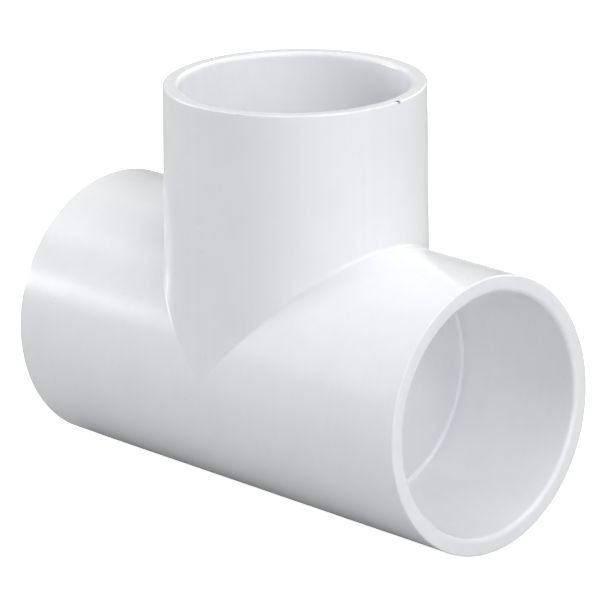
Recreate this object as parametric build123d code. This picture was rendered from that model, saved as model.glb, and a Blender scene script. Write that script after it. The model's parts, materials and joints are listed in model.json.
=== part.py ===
from build123d import *
import os

# A slip tee for 2-inch plastic pressure pipe, moulded in one piece.
# Millimetres, +Z up. The run lies along X and the branch rises along +Z.
# The origin is the point where the two centre lines cross.

HUB_DIAMETER = 68.8        # outside of the run and of the branch
CENTRE_TO_END = 71.0       # from the origin to each of the three mouths
SOCKET_DIAMETER = 60.4     # takes pipe of 60.3 mm outside diameter
SOCKET_DEPTH = 40.2        # from a mouth to its pipe stop
STOP_HEIGHT = 1.0          # how far each pipe stop stands in from its socket's wall
CROTCH_RADIUS = 1.2        # fillet outside, where the branch meets the run
OUTER_RIM_RADIUS = 0.4     # rounding of each rim's outer edge
INNER_RIM_RADIUS = 1.2     # rounding of each rim's inner edge, which leads the pipe in
STOP_EDGE_RADIUS = 0.3     # rounding of each pipe stop's edge

HUB_RADIUS = HUB_DIAMETER / 2
SOCKET_RADIUS = SOCKET_DIAMETER / 2
WATERWAY_RADIUS = SOCKET_RADIUS - STOP_HEIGHT
CENTRE_TO_STOP = CENTRE_TO_END - SOCKET_DEPTH
SAME_PLACE = 0.01

# Each arm's hollow is drawn standing on the origin along +Z, then turned to its place.
ARM_TURNS = {
    "right": Rotation(0, 90, 0),
    "left": Rotation(0, -90, 0),
    "branch": Rotation(0, 0, 0),
}


def standing_cylinder(radius, bottom, top):
    """A cylinder about Z between two heights."""
    blank = Cylinder(radius, top - bottom, align=(Align.CENTER, Align.CENTER, Align.MIN))
    return Pos(0, 0, bottom) * blank


def rods():
    """The run and the branch as solid rods, filleted where they meet.

    The rods have equal diameters, so they meet along two half ellipses, which cross where the rods touch
    smoothly. The rods' seam lines are turned so that both fillets can be rolled from end to end.
    """
    run_seam_up = Rotation(0, 0, 180)
    branch_seam_back = Rotation(0, 0, 90)
    run = Rotation(0, 90, 0) * run_seam_up * standing_cylinder(HUB_RADIUS, -CENTRE_TO_END, CENTRE_TO_END)
    branch = branch_seam_back * standing_cylinder(HUB_RADIUS, 0, CENTRE_TO_END)
    joined = run + branch
    return fillet(joined.edges().filter_by(GeomType.ELLIPSE), CROTCH_RADIUS)


def flare(radius, height, rounding):
    """The ring cut away by rounding the edge of a hole that opens upwards at this height."""
    with BuildPart() as ring:
        with BuildSketch(Plane.XZ):
            with Locations((radius + rounding / 2, height - rounding / 2)):
                Rectangle(rounding, rounding)
            with Locations((radius + rounding, height - rounding)):
                Circle(rounding, mode=Mode.SUBTRACT)
        revolve(axis=Axis.Z)
    return ring.part


def arm_hollow():
    """The space inside one arm: its share of the waterway, the pipe stop's mouth and the socket."""
    waterway = standing_cylinder(WATERWAY_RADIUS, 0, CENTRE_TO_STOP)
    stop_mouth = flare(WATERWAY_RADIUS, CENTRE_TO_STOP, STOP_EDGE_RADIUS)
    socket = standing_cylinder(SOCKET_RADIUS, CENTRE_TO_STOP, CENTRE_TO_END)
    socket_mouth = flare(SOCKET_RADIUS, CENTRE_TO_END, INNER_RIM_RADIUS)
    return waterway + stop_mouth + socket + socket_mouth


def is_outer_rim(edge):
    """Whether a circular edge is the outer edge of a mouth."""
    reach = max(abs(edge.arc_center.X), edge.arc_center.Z)
    return abs(edge.radius - HUB_RADIUS) < SAME_PLACE and abs(reach - CENTRE_TO_END) < SAME_PLACE


def tee_body():
    """The whole moulding: solid rods, hollowed from mouth to mouth, with rounded rims."""
    body = rods()
    for turn in ARM_TURNS.values():
        body -= turn * arm_hollow()
    rims = body.edges().filter_by(GeomType.CIRCLE).filter_by(is_outer_rim)
    return fillet(rims, OUTER_RIM_RADIUS)


os.makedirs("parts", exist_ok=True)
export_step(tee_body().solid(), "parts/tee_body.step")
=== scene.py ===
import json
import math

import bmesh
import bpy
import numpy as np
from mathutils import Matrix, Vector, noise


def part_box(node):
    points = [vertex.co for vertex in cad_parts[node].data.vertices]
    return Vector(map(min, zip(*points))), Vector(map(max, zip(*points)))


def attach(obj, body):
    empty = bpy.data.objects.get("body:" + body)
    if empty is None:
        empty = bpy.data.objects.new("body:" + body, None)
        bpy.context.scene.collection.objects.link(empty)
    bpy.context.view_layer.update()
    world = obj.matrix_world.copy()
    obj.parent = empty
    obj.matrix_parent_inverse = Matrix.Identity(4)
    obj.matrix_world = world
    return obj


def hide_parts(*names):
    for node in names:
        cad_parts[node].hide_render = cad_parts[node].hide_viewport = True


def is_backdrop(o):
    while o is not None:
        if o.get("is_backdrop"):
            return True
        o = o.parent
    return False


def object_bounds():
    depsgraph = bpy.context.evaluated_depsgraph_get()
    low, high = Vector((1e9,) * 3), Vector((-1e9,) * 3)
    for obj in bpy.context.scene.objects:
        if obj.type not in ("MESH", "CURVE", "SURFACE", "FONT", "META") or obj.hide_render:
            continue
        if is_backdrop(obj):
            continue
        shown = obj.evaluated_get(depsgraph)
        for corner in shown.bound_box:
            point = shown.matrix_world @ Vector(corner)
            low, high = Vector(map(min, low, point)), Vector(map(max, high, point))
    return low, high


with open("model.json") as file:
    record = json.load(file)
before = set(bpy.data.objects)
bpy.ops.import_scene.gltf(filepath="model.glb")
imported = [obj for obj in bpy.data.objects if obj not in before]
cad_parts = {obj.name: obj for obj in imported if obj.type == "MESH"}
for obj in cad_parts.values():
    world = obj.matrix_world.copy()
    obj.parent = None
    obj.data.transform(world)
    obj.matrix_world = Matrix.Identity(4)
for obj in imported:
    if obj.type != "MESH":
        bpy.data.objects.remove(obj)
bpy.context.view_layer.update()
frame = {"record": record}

# Sizes, in metres. The CAD node's box and the record's mounts give the main ones.
MM = 0.001
NODE = "tee_body"
SLOT = "white_pvc"
low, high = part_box(NODE)
mounts = {mount["name"]: mount for mount in frame["record"]["mounts"]}
socket_dims = mounts["branch_socket"]["dims"]
socket_middle = mounts["branch_socket"]["pos_m"][2]

HUB = high.y
REACH = high.z
SOCKET = socket_dims["r_mm"] * MM
WATERWAY = mounts["run_waterway"]["dims"]["r_mm"] * MM
SOCKET_FOOT = socket_middle - socket_dims["length_mm"] * MM / 2
SOCKET_TOP = socket_middle + socket_dims["length_mm"] * MM / 2
LIP = REACH - SOCKET_TOP
STOP_EDGE = SOCKET_FOOT - mounts["run_waterway"]["dims"]["length_mm"] * MM / 2
RIM = 0.4 * MM            # rounding of a rim's outer edge
CROTCH = 1.2 * MM         # fillet where the branch meets the run outside
CORE_EDGE = 0.35 * MM     # rounding where the waterways cross inside
STOP_CORNER = 0.08 * MM   # fillet in the corner at the foot of a socket
LEAD_STEP = 0.25 * MM     # from a socket's lead-in to the next row of points
CORNER_STEP = 0.1 * MM    # from the corner at its foot to the next row

STEPS_ROUND = 360         # even steps round an arm
RIDGE_STEPS = np.array([0.07, 0.15, 0.26, 0.42]) * MM   # extra steps each side of a moulding line
MERGE_GRID = 1e-5 * MM    # points this close are one point
SMALL_ANGLE = 1e-9

# Surface detail of the moulding.
PARTING_HEIGHT = 0.018 * MM   # ridge where the mould's halves met, in the plane of the run and branch
WITNESS_HEIGHT = 0.045 * MM   # fainter line down the branch's front
RIDGE_WIDTH = 0.12 * MM
UNEVENNESS = 0.03 * MM        # gentle waves over the whole skin

# White PVC, as linear colour.
PVC_DULL = (0.886, 0.892, 0.918)
PVC_BRIGHT = (0.912, 0.917, 0.94)
PVC_ROUGHNESS = 0.22
PVC_IOR = 1.53
PVC_SUBSURFACE = 0.12
PVC_SUBSURFACE_REACH = 1.2 * MM
SPECKS = 0.12              # how dark the specks are, as a share
STOP_PAINTED_HIGHLIGHT = 0.06       # painted highlight: how much paler the pipe stops' edges are made, as a share
BUMP = 0.012 * MM          # height of the fine surface texture

# How fine each texture is, in waves or cells per metre.
MOTTLE_SCALE = 75
PEEL_SCALE = 260
GRAIN_SCALE = 1500
SCUFF_SCALE = 700
SPECK_SCALE = 130.0
STREAK_SCALE = (420, 420, 16)   # long along the branch, from the flow into the mould
FIBRE_SCALE = 900

# Single marks of moulding and handling, in mm: place, radius, share of light they take, height.
# The pips are painted a little paler than the plastic round them as a painted highlight, so they take less
# than none.
MARKS = [
    ((33.6, 4.7, 71.0), 0.9, 1.0, 0.0),       # grit pressed into the branch's rim
    ((13.0, -31.6, 70.8), 0.7, 0.15, -0.1),   # nick in the branch's rim, darkened a little as painted shade in the dent
    ((0.2, -34.4, 40.0), 0.7, -0.06, 0.06),   # pip on the branch's front line, paler as a painted highlight
    ((-0.5, -34.4, 64.7), 0.6, -0.06, 0.05),  # pip below the branch's rim, paler as a painted highlight
]

# Light: name, azimuth, elevation, width, depth, power, colour. All stand at one distance from the origin.
LIGHT_DISTANCE = 1.4
WHITE = (1.0, 1.0, 1.0)
WARM = (1.0, 1.0, 0.92)
LIGHTS = [
    ("front_softbox", 59, 13, 1.2, 0.7, 5.5, WHITE),
    ("front_right_softbox", 75, 45, 0.7, 0.5, 3.6, WHITE),
    ("right_softbox", 107, 48, 0.9, 0.9, 4.6, WHITE),
    ("left_low_softbox", -61, 9.5, 0.42, 0.26, 6.3, WHITE),
    ("left_softbox", -80, 30, 0.6, 0.5, 1.6, WHITE),
    ("left_sheet", -77, 30, 1.8, 1.0, 3.3, WHITE),
    ("back_softbox", -165, 35, 0.9, 0.6, 8.2, WARM),
    ("top_softbox", 47, 85, 0.9, 0.9, 7.0, WARM),
]
BACKDROP_LIGHT = 0.05     # even light from behind the part, as seen by the camera
ROOM_LIGHT = 0.19         # even light from the camera's side
ROOM_COLOUR = (0.75, 0.8, 1.0, 1)
BACKDROP_WHITE = 1.3      # how bright the backdrop looks to the camera
FLOOR_EVEN_LIGHT = 0.88   # keeps the floor near white where the part shades it
FLOOR_BOUNCE = 0.53       # how much light the floor throws back on the part
FLOOR_HALF_WIDTH = 14.0

# Camera: where it looks from, and how its film leans away from square.
VIEW_AZIMUTH = 47.23
VIEW_ELEVATION = 16.55
VIEW_DISTANCE = 1.4694
AIM = Vector((-2.36, 3.16, 13.06)) * MM
FILM_AZIMUTH = 45.91
FILM_ELEVATION = 0.2
FILM_ROLL = -0.57
LENS = 338.8


# ---------------------------------------------------------------- the moulding

def ring_angles():
    """Angles round an arm, from 0 to a full turn, with extra ones at each quarter for the moulding lines."""
    even = np.arange(STEPS_ROUND) * 2 * math.pi / STEPS_ROUND
    extra = [q * math.pi / 2 + side * RIDGE_STEPS / HUB for q in range(4) for side in (-1, 1)]
    return np.sort(np.concatenate([even, *extra]) % (2 * math.pi))


def arc(count):
    """Angles of a quarter turn in even steps, both ends included."""
    return np.linspace(0, math.pi / 2, count + 1)


def profile():
    """One arm's section beyond its start, from the outer wall to the waterway: radius and distance along."""
    points = []
    for t in arc(7):
        points.append((HUB - RIM + RIM * math.cos(t), REACH - RIM + RIM * math.sin(t)))
    for share in (0.07, 0.93):
        points.append(((HUB - RIM) * (1 - share) + (SOCKET + LIP) * share, REACH))
    for t in arc(9):
        points.append((SOCKET + LIP - LIP * math.sin(t), REACH - LIP + LIP * math.cos(t)))
    points.append((SOCKET, SOCKET_TOP - LEAD_STEP))
    for share in np.linspace(0.94, 0.04, 11):
        points.append((SOCKET, SOCKET_FOOT + share * (SOCKET_TOP - SOCKET_FOOT)))
    points.append((SOCKET, SOCKET_FOOT + STOP_CORNER + CORNER_STEP))
    for t in arc(4):
        radius = SOCKET - STOP_CORNER * (1 - math.cos(t))
        points.append((radius, SOCKET_FOOT + STOP_CORNER * (1 - math.sin(t))))
    for t in arc(4):
        radius = WATERWAY + STOP_EDGE * (1 - math.sin(t))
        points.append((radius, SOCKET_FOOT - STOP_EDGE * (1 - math.cos(t))))
    return points


def wall_shares(count, lead):
    """Shares of the way along a wall, from 0 to 1, with a short step of this share at each end."""
    return np.concatenate([[0, lead], np.linspace(0, 1, count + 1)[1:-1], [1 - lead, 1]])


def arm_sheet(start_share, angles):
    """Points of one arm standing along +Z: a sheet of rows from the outer start to the inner start."""
    outer_start = (HUB + CROTCH) * start_share
    inner_start = (WATERWAY + CORE_EDGE) * start_share
    section = profile()
    outer_end, inner_end = section[0][1], section[-1][1]
    rows = []
    for share in wall_shares(18, 0.006)[:-1]:
        rows.append((np.full_like(angles, HUB), outer_start + share * (outer_end - outer_start)))
    for radius, along in section:
        rows.append((np.full_like(angles, radius), np.full_like(angles, along)))
    for share in wall_shares(6, 0.03)[1:]:
        rows.append((np.full_like(angles, WATERWAY), inner_end + share * (inner_start - inner_end)))
    radius = np.array([row[0] for row in rows])
    along = np.array([row[1] for row in rows])
    return np.stack([radius * np.cos(angles), radius * np.sin(angles), along], -1)


def crossing_strip(radius, rounding, angles, steps, side):
    """The rounded strip between the branch and the run's arm on one side, for walls of this radius.

    A ball of the rounding's radius rolls along both walls. The first row of points is where it touches the
    run, and the last row is where it touches the branch.
    """
    sine, cosine = np.sin(angles), np.cos(angles)
    none = np.zeros_like(angles)
    to_run = np.stack([none, cosine, sine], -1)
    to_branch = np.stack([sine, cosine, none], -1)
    centre = (radius + rounding) * np.stack([sine, cosine, sine], -1)
    opening = np.arccos(np.clip(cosine ** 2, -1, 1))
    is_open = opening > SMALL_ANGLE
    whole = np.where(is_open, np.sin(opening), 1.0)
    rows = []
    for share in np.linspace(0, 1, steps + 1):
        near = np.where(is_open, np.sin((1 - share) * opening) / whole, 1 - share)
        far = np.where(is_open, np.sin(share * opening) / whole, share)
        rows.append(centre - rounding * (near[:, None] * to_run + far[:, None] * to_branch))
    return np.array(rows) * np.array([side, 1, 1])


def sheet_faces(rows, columns, closed, first):
    """Quads of a sheet whose points are numbered row by row from first."""
    ids = first + np.arange(rows * columns).reshape(rows, columns)
    if closed:
        ids = np.concatenate([ids, ids[:, :1]], axis=1)
    return np.stack([ids[:-1, :-1], ids[:-1, 1:], ids[1:, 1:], ids[1:, :-1]], -1).reshape(-1, 4)


def tee_points_and_faces():
    """Every sheet of the moulding joined into one closed skin: unique points, and faces as lists of them."""
    angles = ring_angles()
    run = arm_sheet(np.maximum(0, np.sin(angles)), angles)
    branch = arm_sheet(np.abs(np.cos(angles)), angles)
    right = np.stack([run[..., 2], run[..., 0], run[..., 1]], -1)
    left = right * np.array([-1, 1, 1])
    sheets = [(right, True), (left, True), (branch, True)]
    upper = np.append(angles[angles < math.pi - SMALL_ANGLE], math.pi)
    for side in (1, -1):
        sheets.append((crossing_strip(HUB, CROTCH, upper, 10, side), False))
        sheets.append((crossing_strip(WATERWAY, CORE_EDGE, upper, 4, side), False))
    points, faces, first = [], [], 0
    for sheet, closed in sheets:
        rows, columns = sheet.shape[:2]
        points.append(sheet.reshape(-1, 3))
        faces.append(sheet_faces(rows, columns, closed, first))
        first += rows * columns
    points, faces = np.concatenate(points), np.concatenate(faces)
    grid = np.round(points / MERGE_GRID).astype(np.int64)
    _, kept, merged = np.unique(grid, axis=0, return_index=True, return_inverse=True)
    points, faces = points[kept], merged.reshape(-1)[faces]
    lists = []
    for face in faces.tolist():
        corners = [c for i, c in enumerate(face) if c != face[i - 1]]
        if len(set(corners)) > 2:
            lists.append(corners)
    return points, lists


def skin_relief(points):
    """How far each point stands proud of the plain surface: moulding lines outside, and gentle waves."""
    x, y, z = points.T
    from_run, from_branch = np.hypot(y, z), np.hypot(x, y)
    from_core = np.where(z > 0, np.minimum(from_run, from_branch), from_run)
    outside = np.clip((from_core - HUB + 0.5 * MM) / (0.4 * MM), 0, 1)
    before_rim = np.clip((REACH - RIM - np.maximum(np.abs(x), z)) / (0.8 * MM), 0, 1)
    parting = PARTING_HEIGHT * np.exp(-((y / RIDGE_WIDTH) ** 2))
    on_branch_front = (z > 0) & (y < 0) & (from_branch < from_run + CROTCH)
    witness = np.where(on_branch_front, WITNESS_HEIGHT * np.exp(-((x / RIDGE_WIDTH) ** 2)), 0)
    places = [Vector(point) for point in points.tolist()]
    waves = np.array([noise.noise(place * 95) + 0.5 * noise.noise(place * 230) for place in places])
    return (parting + witness) * outside * before_rim + UNEVENNESS * waves


def make_moulding():
    """The moulding as one closed mesh, with its relief."""
    points, faces = tee_points_and_faces()
    mesh = bpy.data.meshes.new("tee_moulding")
    mesh.from_pydata(points.tolist(), [], faces)
    work = bmesh.new()
    work.from_mesh(mesh)
    bmesh.ops.recalc_face_normals(work, faces=work.faces)
    work.to_mesh(mesh)
    work.free()
    normals = np.array([vertex.normal[:] for vertex in mesh.vertices])
    moved = points + normals * skin_relief(points)[:, None]
    mesh.vertices.foreach_set("co", moved.ravel())
    mesh.update()
    mesh.shade_smooth()
    moulding = bpy.data.objects.new("tee_moulding", mesh)
    bpy.context.scene.collection.objects.link(moulding)
    return moulding


# ---------------------------------------------------------------- materials

class Nodes:
    """Adds shader nodes to a material or world, and links them."""

    def __init__(self, owner):
        owner.use_nodes = True
        self.tree = owner.node_tree
        self.tree.nodes.clear()

    def add(self, kind, links=None, values=None, **settings):
        node = self.tree.nodes.new("ShaderNode" + kind)
        for name, value in settings.items():
            setattr(node, name, value)
        for name, value in (values or {}).items():
            node.inputs[name].default_value = value
        for name, source in (links or {}).items():
            self.tree.links.new(source, node.inputs[name])
        return node

    def math(self, operation, first, second=0.0):
        node = self.add("Math", operation=operation)
        for slot, value in enumerate((first, second)):
            if isinstance(value, (int, float)):
                node.inputs[slot].default_value = value
            else:
                self.tree.links.new(value, node.inputs[slot])
        return node.outputs[0]

    def spread(self, value, low, high, to_low=0.0, to_high=1.0):
        """A value in one range mapped onto another, and held inside it."""
        ends = {"From Min": low, "From Max": high, "To Min": to_low, "To Max": to_high}
        return self.add("MapRange", {"Value": value}, ends).outputs[0]

    def noise(self, place, scale, detail=2.0, roughness=0.5):
        values = {"Scale": scale, "Detail": detail, "Roughness": roughness}
        return self.add("TexNoise", {"Vector": place}, values).outputs["Fac"]

    def for_camera(self, seen, otherwise):
        """One shader where the camera looks, and another for all other light."""
        ray = self.add("LightPath").outputs["Is Camera Ray"]
        return self.add("MixShader", {"Fac": ray, 1: otherwise, 2: seen}).outputs[0]

    def tint(self, share, low, high):
        """A colour between two, by share."""
        node = self.add("Mix", data_type="RGBA")
        node.inputs[6].default_value = (*low, 1)
        node.inputs[7].default_value = (*high, 1)
        self.tree.links.new(share, node.inputs[0])
        return node.outputs[2]


def single_marks(nodes, place):
    """How much light the single marks let through, and how far they stand proud as a share of BUMP. The
    pips' paling is a painted highlight and the nick's darkening is painted shade.
    """
    kept, relief = 1.0, 0.0
    for centre, radius, darkness, height in MARKS:
        gap = nodes.add("VectorMath", {0: place}, {1: Vector(centre) * MM}, operation="DISTANCE")
        there = nodes.spread(gap.outputs["Value"], 0.25 * radius * MM, radius * MM, 1.0, 0.0)
        passed = nodes.math("SUBTRACT", 1.0, nodes.math("MULTIPLY", there, darkness))
        kept = nodes.math("MULTIPLY", kept, passed)
        proud = nodes.math("MULTIPLY", there, height * MM / BUMP)
        relief = nodes.math("ADD", relief, proud)
    return kept, relief


def stop_highlight_mask(nodes, place, reach):
    """1 on the pipe stops, which get a painted highlight, and 0 elsewhere. The outer wall beside a stop is
    further from the origin.
    """
    from_origin = nodes.add("VectorMath", {0: place}, operation="LENGTH").outputs["Value"]
    inside = nodes.math("LESS_THAN", from_origin, math.hypot(SOCKET, SOCKET_FOOT) + 0.2 * MM)
    from_face = nodes.math("ABSOLUTE", nodes.math("SUBTRACT", reach, SOCKET_FOOT - STOP_EDGE / 2))
    beside = nodes.math("LESS_THAN", from_face, STOP_EDGE / 2 + 0.1 * MM)
    return nodes.math("MULTIPLY", inside, beside)


def pvc_material():
    """White PVC as it leaves the mould: satin and faintly mottled, with scuffed rims and small marks.
    Painted highlights pale the pipe stops' edges and the pips, and painted shade darkens the nick.
    """
    material = bpy.data.materials.new(SLOT)
    nodes = Nodes(material)
    place = nodes.add("TexCoord").outputs["Object"]
    axes = nodes.add("SeparateXYZ", {"Vector": place}).outputs
    reach = nodes.math("MAXIMUM", nodes.math("ABSOLUTE", axes["X"]), axes["Z"])

    mottle = nodes.noise(place, MOTTLE_SCALE, 4, 0.55)
    drawn = nodes.add("Mapping", {"Vector": place}, {"Scale": STREAK_SCALE}).outputs[0]
    streaks = nodes.noise(drawn, 1, 3, 0.6)
    peel = nodes.noise(place, PEEL_SCALE, 2, 0.5)
    grain = nodes.noise(place, GRAIN_SCALE, 2, 0.6)
    patches = nodes.noise(place, SCUFF_SCALE, 5, 0.7)

    near_rim = nodes.spread(reach, REACH - 1.4 * MM, REACH - 0.2 * MM)
    scuffed = nodes.math("MULTIPLY", near_rim, nodes.spread(patches, 0.5, 0.7))
    cells = nodes.add("TexVoronoi", {"Vector": place}, {"Scale": SPECK_SCALE}, feature="F1").outputs
    speck = nodes.math("MULTIPLY", nodes.spread(cells["Distance"], 0.02, 0.04, 1.0, 0.0), SPECKS)

    shade = nodes.math("ADD", nodes.math("MULTIPLY", mottle, 0.6), nodes.math("MULTIPLY", streaks, 0.4))
    colour = nodes.tint(nodes.spread(shade, 0.36, 0.64), PVC_DULL, PVC_BRIGHT)
    kept = nodes.math("SUBTRACT", 1.0, nodes.math("MULTIPLY", scuffed, 0.03))
    kept = nodes.math("MULTIPLY", kept, nodes.math("SUBTRACT", 1.0, speck))
    # Painted highlight: the pipe stops' edges are made paler to stand in for the light they catch.
    paler = nodes.math("ADD", 1.0, nodes.math("MULTIPLY", stop_highlight_mask(nodes, place, reach), STOP_PAINTED_HIGHLIGHT))
    kept = nodes.math("MULTIPLY", kept, paler)
    # The marks' colour: grit darkens, the nick's darkening is painted shade, and the pips' paling is a
    # painted highlight.
    marks_kept, marks_relief = single_marks(nodes, place)
    kept = nodes.math("MULTIPLY", kept, marks_kept)
    colour = nodes.add("VectorMath", {0: colour, "Scale": kept}, operation="SCALE").outputs[0]

    gloss = nodes.spread(mottle, 0.3, 0.7, PVC_ROUGHNESS - 0.03, PVC_ROUGHNESS + 0.03)
    gloss = nodes.math("ADD", gloss, nodes.math("MULTIPLY", scuffed, 0.06))

    relief = nodes.math("ADD", peel, nodes.math("MULTIPLY", grain, 0.12))
    relief = nodes.math("SUBTRACT", relief, nodes.math("MULTIPLY", scuffed, 0.15))
    relief = nodes.math("ADD", relief, marks_relief)
    bump = nodes.add("Bump", {"Height": relief}, {"Strength": 1.0, "Distance": BUMP})

    links = {"Base Color": colour, "Roughness": gloss, "Normal": bump.outputs[0]}
    values = {
        "IOR": PVC_IOR,
        "Subsurface Weight": PVC_SUBSURFACE,
        "Subsurface Radius": (1.0, 0.92, 0.85),
        "Subsurface Scale": PVC_SUBSURFACE_REACH,
    }
    shader = nodes.add("BsdfPrincipled", links, values)
    nodes.add("OutputMaterial", {"Surface": shader.outputs[0]})
    return material


def floor_material():
    """Pale matt paper. It is lit almost evenly to white, and throws back little light on the underside."""
    material = bpy.data.materials.new("pale_paper")
    nodes = Nodes(material)
    place = nodes.add("TexCoord").outputs["Object"]
    fibres = nodes.tint(nodes.noise(place, FIBRE_SCALE, 3, 0.6), (0.80, 0.80, 0.80), (0.84, 0.84, 0.84))
    lit = nodes.add("BsdfDiffuse", {"Color": fibres}).outputs[0]
    even = nodes.add("Emission", values={"Color": (1, 1, 1, 1), "Strength": FLOOR_EVEN_LIGHT}).outputs[0]
    seen = nodes.add("AddShader", {0: lit, 1: even}).outputs[0]
    grey = (FLOOR_BOUNCE, FLOOR_BOUNCE, FLOOR_BOUNCE, 1)
    bounce = nodes.add("BsdfDiffuse", values={"Color": grey}).outputs[0]
    nodes.add("OutputMaterial", {"Surface": nodes.for_camera(seen, bounce)})
    return material


# ---------------------------------------------------------------- floor, light and camera

def make_floor(height):
    """A large flat floor at this height."""
    half = FLOOR_HALF_WIDTH
    corners = [(-half, -half, height), (half, -half, height), (half, half, height), (-half, half, height)]
    mesh = bpy.data.meshes.new("floor")
    mesh.from_pydata(corners, [], [(0, 1, 2, 3)])
    mesh.materials.append(floor_material())
    floor = bpy.data.objects.new("floor", mesh)
    bpy.context.scene.collection.objects.link(floor)
    floor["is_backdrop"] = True


def direction(azimuth, elevation):
    """Unit vector from the object toward a place. Azimuth 0 is -Y and 90 is +X; both are in degrees."""
    a, e = math.radians(azimuth), math.radians(elevation)
    return Vector((math.sin(a) * math.cos(e), -math.cos(a) * math.cos(e), math.sin(e)))


def add_light(name, azimuth, elevation, width, depth, power, colour):
    """A soft rectangular light that faces the object."""
    lamp = bpy.data.lights.new(name, "AREA")
    lamp.shape = "RECTANGLE"
    lamp.size, lamp.size_y = width, depth
    lamp.energy = power
    lamp.color = colour
    holder = bpy.data.objects.new(name, lamp)
    toward = direction(azimuth, elevation)
    holder.location = toward * LIGHT_DISTANCE
    holder.rotation_mode = "QUATERNION"
    holder.rotation_quaternion = toward.to_track_quat("Z", "Y")
    bpy.context.scene.collection.objects.link(holder)


def make_world():
    """White all round for the camera. For everything else, a dim bluish room."""
    world = bpy.data.worlds.new("studio")
    nodes = Nodes(world)
    way = nodes.add("TexCoord").outputs["Generated"]
    facing = nodes.add("VectorMath", {0: way}, {1: direction(VIEW_AZIMUTH, 0)}, operation="DOT_PRODUCT")
    level = nodes.spread(facing.outputs["Value"], -0.35, 0.25, BACKDROP_LIGHT, ROOM_LIGHT)
    room = nodes.add("Background", {"Strength": level}, {"Color": ROOM_COLOUR}).outputs[0]
    white = nodes.add("Background", values={"Color": (1, 1, 1, 1), "Strength": BACKDROP_WHITE}).outputs[0]
    nodes.add("OutputWorld", {"Surface": nodes.for_camera(white, room)})
    bpy.context.scene.world = world


def make_camera():
    """A long shift lens. The camera looks down on the part, and its film stays upright.

    Upright lines therefore stay upright in the picture. The rays lean against the film, which a plain camera
    can't hold, so the camera rides a fixed empty whose inverse matrix carries the lean.
    """
    lens = bpy.data.cameras.new("photo_view")
    lens.sensor_width = 36.0
    lens.lens = LENS
    lens.clip_start, lens.clip_end = 0.05, 60.0
    camera = bpy.data.objects.new("photo_view", lens)
    stand = bpy.data.objects.new("camera_stand", None)
    bpy.context.scene.collection.objects.link(camera)
    bpy.context.scene.collection.objects.link(stand)
    back = direction(VIEW_AZIMUTH, VIEW_ELEVATION)
    film = direction(FILM_AZIMUTH, FILM_ELEVATION)
    level = Vector((0, 0, 1)).cross(film).normalized()
    upright = film.cross(level)
    turn = Matrix.Rotation(math.radians(FILM_ROLL), 3, film)
    right, up = turn @ level, turn @ upright
    lean = Matrix((right, up, back)).transposed().to_4x4()
    lean.translation = AIM + back * VIEW_DISTANCE
    camera.parent = stand
    camera.matrix_parent_inverse = lean
    bpy.context.scene.camera = camera


tee = make_moulding()
tee.data.materials.append(pvc_material())
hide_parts(NODE)
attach(tee, "root")
make_floor(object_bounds()[0].z)
make_world()
for light in LIGHTS:
    add_light(*light)
make_camera()
bpy.context.scene.view_settings.view_transform = "Standard"
